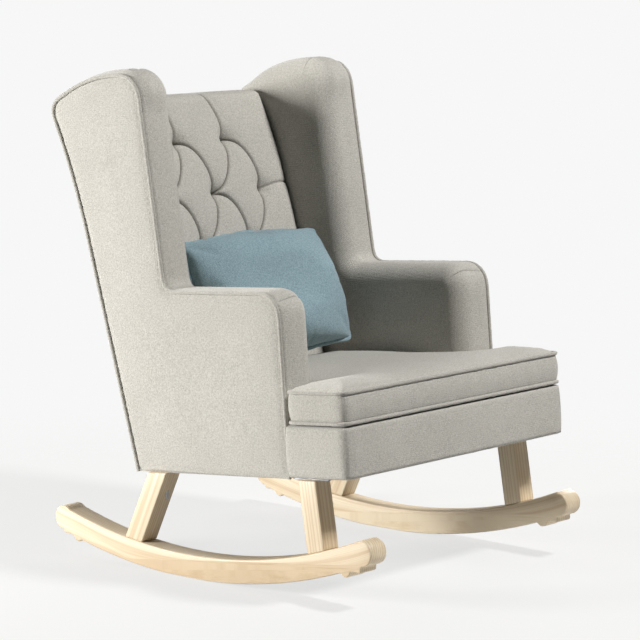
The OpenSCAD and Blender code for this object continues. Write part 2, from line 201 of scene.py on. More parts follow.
def patch(loop, pitch):
    """Triangles that fill a closed outline: its own points first, then a staggered grid."""
    low, high = loop.min(0), loop.max(0)
    rows = np.arange(low[1], high[1], pitch * 0.87)
    grid = [
        (x + (row % 2) * pitch / 2, y)
        for row, y in enumerate(rows)
        for x in np.arange(low[0], high[0], pitch)
    ]
    grid = np.array(grid)
    grid = grid[inside(grid, loop)]
    grid = grid[distance_to(grid, loop) > pitch * 0.55]
    points = np.vstack([loop, grid])
    ring = list(range(len(loop)))
    found = delaunay_2d_cdt([Vector(p) for p in points], [], [ring], 1, 1e-7)
    source, added = [], []
    for place, ids in zip(found[0], found[3]):
        source.append(ids[0] if ids else len(points) + len(added))
        if not ids:
            added.append(tuple(place))
    if added:
        points = np.vstack([points, added])
    faces = [[source[i] for i in face] for face in found[2]]
    return points, faces


def fill(loop, pitch):
    """As patch, for an outline that runs either way round."""
    if signed_area(loop) > 0:
        return patch(loop, pitch)
    points, faces = patch(loop[::-1], pitch)
    count = len(loop)
    points[:count] = loop
    return points, [[count - 1 - i if i < count else i for i in face] for face in faces]


def place_index(total, count, ring_first, extra_first):
    """Numbers of a filled outline's points, when its ring is already in the mesh."""
    return [ring_first + i if i < count else extra_first + i - count for i in range(total)]


# ---------- meshes ----------

def make_object(name, points, faces, material=None, smooth=True, axes=TO_ROW):
    """A mesh object at the origin, from points in body axes or, with np.eye(3), in the row frame."""
    mesh = bpy.data.meshes.new(name)
    mesh.from_pydata([tuple(p) for p in np.asarray(points) @ axes.T], [], faces)
    mesh.update()
    obj = bpy.data.objects.new(name, mesh)
    bpy.context.scene.collection.objects.link(obj)
    shape = bmesh.new()
    shape.from_mesh(mesh)
    bmesh.ops.recalc_face_normals(shape, faces=shape.faces)
    shape.to_mesh(mesh)
    shape.free()
    for polygon in mesh.polygons:
        polygon.use_smooth = smooth
    if material:
        mesh.materials.append(material)
    return obj


def bake(obj):
    """Takes a piece's modifiers into its mesh."""
    view = bpy.context.evaluated_depsgraph_get()
    done = bpy.data.meshes.new_from_object(obj.evaluated_get(view))
    obj.modifiers.clear()
    obj.data = done
    return obj


def loft(rings, closed=True):
    """Faces between rings of equal length, numbered one after another."""
    count = len(rings[0])
    faces = []
    last = count if closed else count - 1
    for k in range(len(rings) - 1):
        for i in range(last):
            j = (i + 1) % count
            faces.append([k * count + i, k * count + j, (k + 1) * count + j, (k + 1) * count + i])
    return faces


def finish_piece(obj, body, slot, *nodes):
    """Joins a piece to its body, in place of the CAD nodes it stands for. The slot argument is not used."""
    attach(obj, body)
    if nodes:
        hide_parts(*nodes)
    return obj


def add_painted_shade(obj, painted_shades):
    """Stores painted shade for each point, by how deep it lies in a crease, pleat or seam, for the cloth
    colour to darken there.
    """
    attribute = obj.data.attributes.new("painted_shade", "FLOAT", "POINT")
    attribute.data.foreach_set("value", np.asarray(painted_shades, np.float32))


def ripple(points, size, seed):
    """Smooth noise from -1 to 1, from a few waves with fixed directions."""
    rng = np.random.default_rng(seed)
    total = np.zeros(len(points))
    for _ in range(9):
        way = rng.normal(size=points.shape[1])
        way *= (0.6 + 0.8 * rng.random()) * 2 * math.pi / size / np.linalg.norm(way)
        total += np.sin(points @ way + rng.random() * 2 * math.pi)
    return total / 5


# ---------- node trees ----------

def link(tree, a, b):
    tree.links.new(a, b)


def shader_node(tree, kind, **values):
    node = tree.nodes.new(kind)
    for key, value in values.items():
        if hasattr(node, key):
            setattr(node, key, value)
        else:
            node.inputs[key.replace("_", " ")].default_value = value
    return node


def new_group(name, inputs, outputs):
    """A shader group with float or vector sockets."""
    tree = bpy.data.node_groups.new(name, "ShaderNodeTree")
    for label, kind, value in inputs:
        socket = tree.interface.new_socket(label, in_out="INPUT", socket_type=kind)
        if value is not None:
            socket.default_value = value
    for label, kind in outputs:
        tree.interface.new_socket(label, in_out="OUTPUT", socket_type=kind)
    return tree, tree.nodes.new("NodeGroupInput"), tree.nodes.new("NodeGroupOutput")


def math_node(tree, operation, a, b=None, c=None):
    node = tree.nodes.new("ShaderNodeMath")
    node.operation = operation
    for socket, value in zip(node.inputs, (a, b, c)):
        if value is None:
            continue
        if isinstance(value, (int, float)):
            socket.default_value = value
        else:
            link(tree, value, socket)
    return node.outputs[0]


def weave_group():
    """Height of a plain weave that runs along all three axes, so that it shows on any face."""
    tree, start, end = new_group(
        "weave",
        [("Vector", "NodeSocketVector", None), ("Threads", "NodeSocketFloat", 900.0),
         ("Slub", "NodeSocketFloat", 0.4)],
        [("Height", "NodeSocketFloat"), ("Fleck", "NodeSocketFloat")])
    wander = shader_node(tree, "ShaderNodeTexNoise", Scale=60.0, Detail=2.0)
    link(tree, start.outputs["Vector"], wander.inputs["Vector"])
    split = tree.nodes.new("ShaderNodeSeparateXYZ")
    link(tree, start.outputs["Vector"], split.inputs[0])
    sway = math_node(tree, "MULTIPLY", wander.outputs[0], start.outputs["Slub"])
    waves = []
    for axis in "XYZ":
        turns = math_node(tree, "MULTIPLY", split.outputs[axis], start.outputs["Threads"])
        waves.append(math_node(tree, "SINE", math_node(tree, "MULTIPLY_ADD", sway, 6.0, turns)))
    pairs = [math_node(tree, "MULTIPLY", waves[i], waves[(i + 1) % 3]) for i in range(3)]
    total = math_node(tree, "ADD", math_node(tree, "ADD", pairs[0], pairs[1]), pairs[2])
    link(tree, math_node(tree, "MULTIPLY_ADD", total, 0.25, 0.5), end.inputs["Height"])
    fleck = shader_node(tree, "ShaderNodeTexNoise", Scale=420.0, Detail=3.0, Roughness=0.7)
    link(tree, start.outputs["Vector"], fleck.inputs["Vector"])
    link(tree, fleck.outputs[0], end.inputs["Fleck"])
    return tree


def mottle_group():
    """Broad and fine variation from 0 to 1, for colour and roughness."""
    tree, start, end = new_group(
        "mottle",
        [("Vector", "NodeSocketVector", None), ("Broad", "NodeSocketFloat", 4.0),
         ("Fine", "NodeSocketFloat", 90.0)],
        [("Broad", "NodeSocketFloat"), ("Fine", "NodeSocketFloat")])
    for label, detail in (("Broad", 3.0), ("Fine", 4.0)):
        noise = shader_node(tree, "ShaderNodeTexNoise", Detail=detail, Roughness=0.6)
        link(tree, start.outputs["Vector"], noise.inputs["Vector"])
        link(tree, start.outputs[label], noise.inputs["Scale"])
        link(tree, noise.outputs[0], end.inputs[label])
    return tree


WEAVE = weave_group()
MOTTLE = mottle_group()


def ramp(tree, source, stops):
    """Colours at places from 0 to 1 along a value."""
    node = tree.nodes.new("ShaderNodeValToRGB")
    elements = node.color_ramp.elements
    while len(elements) < len(stops):
        elements.new(0.5)
    for element, (place, colour) in zip(elements, stops):
        element.position = place
        element.color = (*colour, 1.0)
    link(tree, source, node.inputs[0])
    return node.outputs[0]


def mix_colour(tree, blend, amount, a, b):
    node = tree.nodes.new("ShaderNodeMix")
    node.data_type = "RGBA"
    node.blend_type = blend
    for socket, value in ((node.inputs[0], amount), (node.inputs[6], a), (node.inputs[7], b)):
        if isinstance(value, (int, float)):
            socket.default_value = value
        elif isinstance(value, tuple):
            socket.default_value = (*value, 1.0)
        else:
            link(tree, value, socket)
    return node.outputs[2]


def use_group(tree, group, vector, **values):
    node = tree.nodes.new("ShaderNodeGroup")
    node.node_tree = group
    link(tree, vector, node.inputs["Vector"])
    for key, value in values.items():
        node.inputs[key].default_value = value
    return node


def add_bump(tree, surface, height, strength, distance):
    bump = shader_node(tree, "ShaderNodeBump", Strength=strength, Distance=distance)
    link(tree, height, bump.inputs["Height"])
    link(tree, bump.outputs[0], surface.inputs["Normal"])


def new_material(name):
    """An empty material: itself, its tree, its shader and the object coordinates."""
    material = bpy.data.materials.new(name)
    material.use_nodes = True
    tree = material.node_tree
    tree.nodes.clear()
    output = tree.nodes.new("ShaderNodeOutputMaterial")
    surface = tree.nodes.new("ShaderNodeBsdfPrincipled")
    link(tree, surface.outputs[0], output.inputs[0])
    coordinates = tree.nodes.new("ShaderNodeTexCoord")
    return material, tree, surface, coordinates.outputs["Object"]


def cloth_material(name, dark, light, threads, depth, sheen=0.3, rough=0.9, slub=0.4, speckle=0.5):
    """Woven cloth: flecked yarn, broad random tone, thread relief, painted shade in creases, pleats and
    seams, and a soft sheen.
    """
    material, tree, surface, vector = new_material(name)
    mottle = use_group(tree, MOTTLE, vector, Broad=6.0, Fine=330.0)
    weave = use_group(tree, WEAVE, vector, Threads=threads, Slub=slub)
    yarn = ramp(tree, mottle.outputs["Fine"], [(0.36, dark), (0.62, light)])
    flecked = ramp(tree, weave.outputs["Fleck"], [(0.32, dark), (0.60, light)])
    blended = mix_colour(tree, "MIX", speckle, yarn, flecked)
    shade = ramp(tree, mottle.outputs["Broad"], [(0.3, (0.93, 0.93, 0.925)), (0.7, WHITE)])
    toned = mix_colour(tree, "MULTIPLY", 1.0, blended, shade)
    # Painted shade: the stored attribute darkens the cloth colour in creases, pleats, tuft pits and along
    # seams.
    painted_shade = tree.nodes.new("ShaderNodeAttribute")
    painted_shade.attribute_name = "painted_shade"
    painted_shade_colour = ramp(tree, painted_shade.outputs["Fac"], [(0.15, WHITE), (0.9, (0.30, 0.29, 0.27))])
    link(tree, mix_colour(tree, "MULTIPLY", 1.0, toned, painted_shade_colour), surface.inputs["Base Color"])
    roughness = math_node(tree, "MULTIPLY_ADD", mottle.outputs["Fine"], 0.12, rough - 0.06)
    link(tree, roughness, surface.inputs["Roughness"])
    surface.inputs["Specular IOR Level"].default_value = 0.15
    surface.inputs["Sheen Weight"].default_value = sheen
    surface.inputs["Sheen Roughness"].default_value = 0.45
    yarns = math_node(tree, "MULTIPLY_ADD", mottle.outputs["Fine"], 1.5, weave.outputs["Height"])
    add_bump(tree, surface, math_node(tree, "ADD", yarns, weave.outputs["Fleck"]), 0.6, depth)
    return material


def ash_material():
    """Pale ash. Reads the grain attribute: along the stock, across its depth and its thickness."""
    material, tree, surface, _ = new_material("ash_wood")
    grain = tree.nodes.new("ShaderNodeAttribute")
    grain.attribute_name = "grain"

    def along_grain(texture, **values):
        """Reads a texture at the grain attribute, moved or stretched."""
        mapping = shader_node(tree, "ShaderNodeMapping", **values)
        link(tree, grain.outputs["Vector"], mapping.inputs[0])
        link(tree, mapping.outputs[0], texture.inputs["Vector"])
        return texture.outputs[0]

    soft_noise = shader_node(tree, "ShaderNodeTexNoise", Scale=1.0, Detail=3.0, Distortion=0.6)
    bend = along_grain(soft_noise, Scale=(2.2, 34.0, 34.0))
    waves = shader_node(tree, "ShaderNodeTexWave", Scale=3.2, Distortion=5.0, Detail=2.0)
    waves.wave_type = "RINGS"
    waves.rings_direction = "X"
    rings = along_grain(waves, Location=(0.0, 0.9, 0.35), Scale=(0.25, 15.0, 15.0))
    fine_noise = shader_node(tree, "ShaderNodeTexNoise", Scale=1.0, Detail=4.0, Roughness=0.65)
    fibre = along_grain(fine_noise, Scale=(9.0, 700.0, 700.0))
    base = ramp(tree, rings, [(0.0, (0.68, 0.545, 0.38)), (0.30, (0.76, 0.64, 0.47)),
                              (1.0, (0.81, 0.71, 0.545))])
    patchy = ramp(tree, bend, [(0.3, (0.88, 0.84, 0.78)), (0.7, WHITE)])
    toned = mix_colour(tree, "MULTIPLY", 0.9, base, patchy)
    pores = ramp(tree, fibre, [(0.36, (0.82, 0.76, 0.67)), (0.5, WHITE)])
    link(tree, mix_colour(tree, "MULTIPLY", 0.65, toned, pores), surface.inputs["Base Color"])
    link(tree, math_node(tree, "MULTIPLY_ADD", fibre, 0.18, 0.36), surface.inputs["Roughness"])
    surface.inputs["Coat Weight"].default_value = 0.12
    surface.inputs["Coat Roughness"].default_value = 0.35
    add_bump(tree, surface, fibre, 0.25, 0.0004)
    return material


def timber_material():
    """Rough-sawn frame timber, seen only from below or behind."""
    material, tree, surface, vector = new_material("sawn_timber")
    mottle = use_group(tree, MOTTLE, vector, Broad=12.0, Fine=220.0)
    tone = ramp(tree, mottle.outputs["Broad"], [(0.3, (0.42, 0.29, 0.16)), (0.7, (0.60, 0.45, 0.27))])
    fine = ramp(tree, mottle.outputs["Fine"], [(0.35, (0.75, 0.7, 0.62)), (0.6, WHITE)])
    link(tree, mix_colour(tree, "MULTIPLY", 0.8, tone, fine), surface.inputs["Base Color"])
    rough = math_node(tree, "MULTIPLY_ADD", mottle.outputs["Fine"], 0.2, 0.6)
    link(tree, rough, surface.inputs["Roughness"])
    add_bump(tree, surface, mottle.outputs["Fine"], 0.5, 0.001)
    return material


def zinc_material():
    """Zinc-plated steel with a dull spangle."""
    material, tree, surface, vector = new_material("zinc_steel")
    mottle = use_group(tree, MOTTLE, vector, Broad=40.0, Fine=500.0)
    tone = ramp(tree, mottle.outputs["Broad"], [(0.3, (0.42, 0.43, 0.45)), (0.7, (0.62, 0.63, 0.65))])
    link(tree, tone, surface.inputs["Base Color"])
    surface.inputs["Metallic"].default_value = 1.0
    rough = math_node(tree, "MULTIPLY_ADD", mottle.outputs["Fine"], 0.25, 0.25)
    link(tree, rough, surface.inputs["Roughness"])
    return material


WOOL = cloth_material("grey_wool", (0.335, 0.322, 0.292), (0.60, 0.583, 0.537), 1500.0, 0.0008)
WELT_WOOL = cloth_material("welt_wool", (0.32, 0.308, 0.278), (0.57, 0.553, 0.510), 1700.0, 0.0007)
LINEN = cloth_material("blue_linen", (0.150, 0.232, 0.272), (0.315, 0.435, 0.485), 1900.0, 0.0007,
                       sheen=0.25, rough=0.85, slub=1.1)
LINING = cloth_material("dark_lining", (0.010, 0.010, 0.011), (0.035, 0.034, 0.033), 1300.0, 0.0004,
                        sheen=0.1)
WADDING = cloth_material("pale_wadding", (0.62, 0.57, 0.42), (0.80, 0.76, 0.62), 500.0, 0.0010)
ASH = ash_material()
TIMBER = timber_material()
ZINC = zinc_material()


# ---------- geometry nodes ----------

def cord_tree():
    """Sweeps a round, slightly puckered cord along a line of edges."""
    tree = bpy.data.node_groups.new("swept_cord", "GeometryNodeTree")
    face = tree.interface
    face.new_socket("Geometry", in_out="INPUT", socket_type="NodeSocketGeometry")
    for label, kind in (("Radius", "NodeSocketFloat"), ("Pucker", "NodeSocketFloat"),
                        ("Pitch", "NodeSocketFloat"), ("Seed", "NodeSocketFloat"),
                        ("Material", "NodeSocketMaterial")):
        face.new_socket(label, in_out="INPUT", socket_type=kind)
    face.new_socket("Geometry", in_out="OUTPUT", socket_type="NodeSocketGeometry")
    start = tree.nodes.new("NodeGroupInput")
    end = tree.nodes.new("NodeGroupOutput")
    curve = tree.nodes.new("GeometryNodeMeshToCurve")
    link(tree, start.outputs["Geometry"], curve.inputs["Mesh"])
    even = tree.nodes.new("GeometryNodeResampleCurve")
    even.mode = "LENGTH"
    link(tree, curve.outputs[0], even.inputs["Curve"])
    link(tree, start.outputs["Pitch"], even.inputs["Length"])
    noise = tree.nodes.new("ShaderNodeTexNoise")
    noise.noise_dimensions = "4D"
    noise.inputs["Scale"].default_value = 110.0
    link(tree, start.outputs["Seed"], noise.inputs["W"])
    swing = math_node(tree, "SUBTRACT", noise.outputs[0], 0.5)
    scaled = math_node(tree, "MULTIPLY", swing, start.outputs["Pucker"])
    radius = math_node(tree, "ADD", scaled, 1.0)
    set_radius = tree.nodes.new("GeometryNodeSetCurveRadius")
    link(tree, even.outputs[0], set_radius.inputs["Curve"])
    link(tree, radius, set_radius.inputs["Radius"])
    circle = tree.nodes.new("GeometryNodeCurvePrimitiveCircle")
    circle.inputs["Resolution"].default_value = 10
    link(tree, start.outputs["Radius"], circle.inputs["Radius"])
    sweep = tree.nodes.new("GeometryNodeCurveToMesh")
    link(tree, set_radius.outputs[0], sweep.inputs["Curve"])
    link(tree, circle.outputs[0], sweep.inputs["Profile Curve"])
    sweep.inputs["Fill Caps"].default_value = True
    if "Scale" in sweep.inputs:
        reading = tree.nodes.new("GeometryNodeInputRadius")
        link(tree, reading.outputs[0], sweep.inputs["Scale"])
    smooth = tree.nodes.new("GeometryNodeSetShadeSmooth")
    link(tree, sweep.outputs[0], smooth.inputs["Geometry"])
    real = tree.nodes.new("GeometryNodeRealizeInstances")
    link(tree, smooth.outputs[0], real.inputs[0])
    paint = tree.nodes.new("GeometryNodeSetMaterial")
    link(tree, real.outputs[0], paint.inputs["Geometry"])
    link(tree, start.outputs["Material"], paint.inputs["Material"])
    link(tree, paint.outputs[0], end.inputs[0])
    return tree


def socket_id(tree, label):
    for item in tree.interface.items_tree:
        if item.item_type == "SOCKET" and item.in_out == "INPUT" and item.name == label:
            return item.identifier
    raise KeyError(label)


CORD_TREE = cord_tree()


def cord(name, paths, radius, material, pucker=0.5, pitch=0.004, seed=1.0, closed=False):
    """One piece made of round cords along paths given in body axes."""
    points, edges = [], []
    for path in paths:
        first = len(points)
        points += [tuple(p) for p in np.asarray(path) @ TO_ROW.T]
        edges += [(i, i + 1) for i in range(first, len(points) - 1)]
        if closed:
            edges.append((len(points) - 1, first))
    mesh = bpy.data.meshes.new(name)
    mesh.from_pydata(points, edges, [])
    obj = bpy.data.objects.new(name, mesh)
    bpy.context.scene.collection.objects.link(obj)
    modifier = obj.modifiers.new("cord", "NODES")
    modifier.node_group = CORD_TREE
    values = {"Radius": radius, "Pucker": pucker, "Pitch": pitch, "Seed": seed, "Material": material}
    for label, value in values.items():
        modifier[socket_id(CORD_TREE, label)] = value
    return bake(obj)


# ---------- wooden pieces ----------

def sawn_piece(name, loop, x0, x1, easing, grain_of):
    """A flat piece cut to an outline, with eased edges and a grain attribute."""
    count = len(loop)
    points = [(x, y, z) for x in (x0, x1) for y, z in loop]
    faces = loft([loop, loop]) + [list(range(count)), list(range(count, 2 * count))]
    obj = make_object(name, points, faces, ASH, smooth=False, axes=np.eye(3))
    bevel = obj.modifiers.new("eased", "BEVEL")
    bevel.width = easing
    bevel.segments = 3
    bevel.limit_method = "ANGLE"
    bevel.angle_limit = math.radians(50)
    bake(obj)
    obj.data.materials.clear()
    obj.data.materials.append(ASH)
    obj.data.shade_smooth()
    obj.data.set_sharp_from_angle(angle=math.radians(38))
    places = np.array([v.co for v in obj.data.vertices])
    attribute = obj.data.attributes.new("grain", "FLOAT_VECTOR", "POINT")
    attribute.data.foreach_set("vector", grain_of(places).astype(np.float32).ravel())
    return obj


def runner_curve():
    """Centre and radius of the runners' underside, from the runner's own outline."""
    loop = side_loop("runner_left", -1, np.eye(3))
    low = loop[:, 1].min()
    middle = loop[:, 0].mean()
    under = loop[(np.abs(loop[:, 0] - middle) < 0.28) & (loop[:, 1] < low + 0.03)]
    under = resample(soften(under[np.argsort(under[:, 0])], 0), 0.02)
    matrix = np.column_stack([2 * under, np.ones(len(under))])
    y, z, c = np.linalg.lstsq(matrix, (under ** 2).sum(1), rcond=None)[0]
    return y, z, math.sqrt(c + y * y + z * z)


def build_runners():
    """Two curved runners, with the grain following the curve."""
    centre_y, centre_z, radius = runner_curve()
    for side, name in ((-1, "runner_left"), (1, "runner_right")):
        points = cad_points(name, np.eye(3))
        x0, x1 = points[:, 0].min(), points[:, 0].max()
        loop = resample(side_loop(name, side, np.eye(3)), 0.005, closed=True)
        shift = 0.37 * side

        def grain(p, shift=shift):
            dy, dz = p[:, 1] - centre_y, centre_z - p[:, 2]
            depth = radius - np.hypot(dy, dz)
            return np.column_stack([np.arctan2(dy, dz) * radius + shift, depth, p[:, 0]])

        obj = sawn_piece(name + "_ash", loop, x0, x1, 0.0035, grain)
        finish_piece(obj, "chair", "pale_ash", name)


def build_legs():
    """Four straight square legs, each with its grain along its own length."""
    for name in ("leg_front_left", "leg_front_right", "leg_rear_left", "leg_rear_right"):
        points = cad_points(name, np.eye(3))
        x0, x1 = points[:, 0].min(), points[:, 0].max()
        loop = side_loop(name, 1, np.eye(3))
        top, bottom = loop[loop[:, 1] > loop[:, 1].mean()], loop[loop[:, 1] < loop[:, 1].mean()]
        way = top.mean(0) - bottom.mean(0)
        way /= np.linalg.norm(way)
        across = np.array([-way[1], way[0]])
        shift = 1.7 * points[:, 0].mean() + 0.9 * points[:, 1].mean()

        def grain(p, way=way, across=across, shift=shift):
            return np.column_stack([p[:, 1:] @ way + shift, p[:, 1:] @ across + 0.03, p[:, 0]])

        obj = sawn_piece(name + "_ash", loop, x0, x1, 0.003, grain)
        finish_piece(obj, "chair", "pale_ash", name)


# ---------- the sides ----------

def panel_paths(side):
    """Front path (up the arm and the wing to the rear corner) and rear path of a side panel."""
    node = "outside_panel_left" if side < 0 else "outside_panel_right"
    loop = side_loop(node, side)
    if signed_area(loop) < 0:
        loop = loop[::-1]
    floor = loop[:, 1].min() + 1e-3
    starts = [i for i in range(len(loop)) if loop[i, 1] < floor]
    front = min(starts, key=lambda i: loop[i, 0])
    rear = max(starts, key=lambda i: loop[i, 0])
    loop = np.roll(loop, -rear, 0)
    stop = (front - rear) % len(loop)
    upward = loop[:stop + 1]
    corner = int(np.argmax(upward[:, 0]))
    rear_path = resample(upward[:corner + 1], SEAM_PITCH)
    front_path = soften(resample(upward[corner:], SEAM_PITCH), 3)
    return front_path[::-1], rear_path[::-1]


FRONT_PATH, REAR_PATH = panel_paths(1)
PANEL_LOOP = np.vstack([FRONT_PATH[:-1], REAR_PATH[:-1]])
PAD_LOW = cad_box("inside_pad_right")[0]
PANEL_LOW = cad_box("outside_panel_right")[0]
CUSHION_HIGH = cad_box("cushion_cover")[1]
BACK_LOW, BACK_HIGH = cad_box("back_pad")


def end_of(side):
    return "left" if side < 0 else "right"


def corner_places(path):
    """Places along the front path of the arm's corner and the wing's front corner, where the path
    turns most in its lower front part and in its top front part."""
    turn = np.gradient(np.unwrap(np.arctan2(*np.gradient(path, axis=0).T[::-1])))
    turn = np.convolve(turn, np.ones(9) / 9, mode="same")
    back, rise = path[:, 0], path[:, 1]
    arm_front = (rise < rise.max() * 0.75) & (back < -0.15)
    wing_front = (rise > rise.max() * 0.9) & (back < back.max() * 0.6)
    arm = np.argmax(np.abs(turn) * arm_front)
    wing = np.argmax(np.abs(turn) * wing_front)
    return int(arm), int(wing)


def shell_sections():
    """Cross-sections of a side from its welt inward: where each lies across the chair, how far it
    is drawn in from the outline, how full it is, and its share of the band's width."""
    x_outer, x_inner = PANEL_LOW[0], PAD_LOW[0]
    sections = [(x_outer + 0.002, 0.008, 0.0, 0.0), (x_outer, 0.003, 0.0, 0.0)]
    for share in np.linspace(0.0, 1.0, 15)[1:]:
        x = x_outer + (x_inner + BAND_ROUND - x_outer) * share
        sections.append((x, 0.0, math.sin(math.pi * 0.5 * min(1.0, share * 1.7)), share))
    for angle in np.linspace(0, math.pi / 2, 12)[1:]:
        x = x_inner + BAND_ROUND * (1 - math.sin(angle))
        sections.append((x, BAND_ROUND * (1 - math.cos(angle)), 1 - math.sin(angle) ** 2, 1.0))
    return sections


def seam_grooves(run, seams, full, share):
    """Depth of the sewn seams along one cross-section, and how far each point lies in their shade.
    A seam is its place, the share of the band where it starts, and its slant."""
    depth, shade = np.zeros(len(run)), np.zeros(len(run))
    for place, start, slant in seams:
        reach = np.clip((share - start) / 0.12, 0, 1) * max(0.0, full) ** 0.3
        off = run - place - slant * (share - 0.5)
        depth += reach * 0.0022 * (np.exp(-(off / 0.0016) ** 2) + np.exp(-(off / 0.007) ** 2))
        # Painted shade: a dark line along each seam, stored for the cloth colour.
        shade += reach * 0.7 * np.exp(-(off / 0.0012) ** 2)
    return depth, shade


def build_shell(side):
    """Border band, rounding and inside face of one wing and arm, as one stuffed piece."""
    frame_x = cad_box("side_frame_right")[1][0]
    deck_level = cad_box("seat_deck")[0][2] + 0.004
    coarse = run_along(FRONT_PATH)
    arm, wing = corner_places(FRONT_PATH)
    seams = [(coarse[arm], 0.0, 0.008), (coarse[wing] + 0.030, 0.35, 0.030)]
    near_seams = [place + np.arange(-0.024, 0.024, 0.001) for place, _, _ in seams]
    run = np.unique(np.round(np.concatenate([coarse] + near_seams), 5))
    path = read_at(run, coarse, FRONT_PATH)
    normal = read_at(run, coarse, inward(FRONT_PATH[::-1])[::-1])

    to_end = run[-1] - run
    fade = 0.12 + 0.88 * ease(to_end / 0.09)
    tuck = 1 - np.clip(to_end / 0.02, 0, 1)
    edge = path - normal * (SEAM_IN * (1 - tuck))[:, None] - np.outer(tuck, (REAR_IN, 0.0))
    crest = ease((path[:, 1] - path[:, 1].max() + 0.09) / 0.06)
    fullness = 0.0035 + 0.007 * crest
    rear = REAR_PATH - np.array([REAR_IN, 0.0])
    settle = np.exp(-np.linalg.norm(rear[1:-1] - rear[0], axis=1) / 0.02)

    rings, shades = [], []
    for x, inset, full, share in shell_sections():
        groove, shade = seam_grooves(run, seams, full, share)
        ring = edge + normal * ((inset - fullness * full) * fade + groove)[:, None]
        drop = rear[1:-1] + np.outer(settle, ring[-1] - rear[0])
        base = resample(np.vstack([rear[-1], ring[0]]), 0.02)[:-1]
        closed = np.vstack([ring, drop, base])
        if x < frame_x:
            below = closed[:, 1] < deck_level
            closed[below, 1] = deck_level + 0.03 * (closed[below, 1] - deck_level)
        rings.append(np.column_stack([np.full(len(closed), x), closed]))
        shades.append(np.pad(shade, (0, len(closed) - len(shade))))

    x_inner, inner = rings[-1][0, 0], rings[-1][:, 1:]
    count = len(inner)
    filled, faces = fill(inner, PATCH_PITCH)
    gap = distance_to(filled, inner)
    above = np.clip((filled[:, 1] - CUSHION_HIGH[2]) / 0.05, 0, 1)
    puff = 0.005 * (1 - np.exp(-gap / 0.05)) * above
    puff += 0.0006 * ripple(filled, 0.16, 5 + side) * np.clip(gap / 0.03, 0, 1)
    ringed = np.vstack(rings)
    points = np.vstack([ringed, np.column_stack([x_inner - puff, filled])[count:]])
    points[:, 0] *= side
    index = place_index(len(filled), count, len(ringed) - count, len(ringed))
    inner_cap = [[index[i] for i in face] for face in faces]
    end = end_of(side)
    obj = make_object("wing_and_arm_" + end, points, loft(rings) + inner_cap + [list(range(count))], WOOL)
    # The seams' painted shade goes into the cloth colour as a stored attribute.
    add_painted_shade(obj, np.pad(np.concatenate(shades), (0, len(points) - len(ringed))))
    finish_piece(obj, "chair", "grey_wool", "border_band_" + end, "inside_pad_" + end)


def build_outside_panel(side):
    """Flat outside panel over thin wadding, drawn into its welt."""
    points, faces = fill(PANEL_LOOP, PATCH_PITCH)
    gap = distance_to(points, PANEL_LOOP)
    x = PANEL_LOW[0] + 0.002 + 0.0045 * (1 - np.exp(-gap / 0.005))
    x += 0.0032 * (1 - np.exp(-gap / 0.07)) + 0.0005 * ripple(points, 0.22, 11 + side)
    total = np.column_stack([side * x, points])
    end = end_of(side)
    obj = make_object("outside_" + end, total, faces, WOOL)
    face_outward(obj, (side, 0, 0))
    finish_piece(obj, "chair", "grey_wool", "outside_panel_" + end)


def face_outward(obj, way):
    """Turns an open sheet so that its faces look along way."""
    total = sum((p.normal * p.area for p in obj.data.polygons), Vector())
    if total.dot(Vector(way)) < 0:
        obj.data.flip_normals()


def build_side_welt(side):
    """Self-fabric welt round the front, top and rear of an outside panel."""
    path = np.vstack([FRONT_PATH, REAR_PATH[1:]])
    path = soften(path, 2)
    normal = inward(path[::-1])[::-1]
    path = path - normal * 0.0015
    x = np.full(len(path), side * (PANEL_LOW[0] + 0.0045))
    end = end_of(side)
    obj = cord("welt_" + end, [np.column_stack([x, path])], WELT_RADIUS, WELT_WOOL, seed=3.0 + side)
    finish_piece(obj, "chair", "grey_wool", "side_welt_" + end)


# ---------- the back ----------

def back_line(depth, z):
    """Place of the back's surface at a height, by linear reading of the rear path."""
    rear = REAR_PATH[::-1]
    return np.interp(z, rear[:, 1], rear[:, 0]) - depth


def islands(node):
    """Middle of each separate solid in a CAD node, in body axes."""
    obj = frame["nodes"][node]
    points = cad_points(node)
    keys = {}
    owner = list(range(len(points)))

    def root(i):
        while owner[i] != i:
            i = owner[i]
        return i

    for i, p in enumerate(np.round(points, 5)):
        owner[i] = keys.setdefault(tuple(p), i)
    for edge in obj.data.edges:
        a, b = root(edge.vertices[0]), root(edge.vertices[1])
        owner[max(a, b)] = min(a, b)
    groups = {}
    for i in range(len(points)):
        groups.setdefault(root(i), []).append(points[i])
    return [(np.min(g, 0) + np.max(g, 0)) / 2 for g in groups.values()]


def tuft_rows():
    """Tufts as (across, height), in rows from the top down, with one more row under the pillow."""
    rows = {}
    for x, _, z in islands("tuft_toggles"):
        rows.setdefault(round(z, 3), []).append((x, z))
    rows = [sorted(rows[z]) for z in sorted(rows, reverse=True)]
    drop = rows[0][0][1] - rows[1][0][1]
    rows.append([(x, z - 2 * drop) for x, z in rows[-2]])
    return rows


def near_tufts(points, rows):
    """Distance from each point to the nearest tuft."""
    pits = np.array([tuft for row in rows for tuft in row])
    return np.min(np.hypot(points[:, :1] - pits[:, 0], points[:, 1:] - pits[:, 1]), axis=1)


def arc_pleat(a, b, count=15):
    """Fold between two tufts. Going down to the right it sets off sideways and ends upright;
    going down to the left it sets off downward and swings across at its foot."""
    t = np.linspace(0, math.pi / 2, count)
    dx, dz = b[0] - a[0], b[1] - a[1]
    if dx > 0:
        x, z = np.sin(t), 1 - np.cos(t)
    else:
        x, z = 0.8 * (1 - np.cos(t)) + 0.2 * t / t[-1], 0.8 * np.sin(t) + 0.2 * t / t[-1]
    return np.column_stack([a[0] + dx * x, a[1] + dz * z])


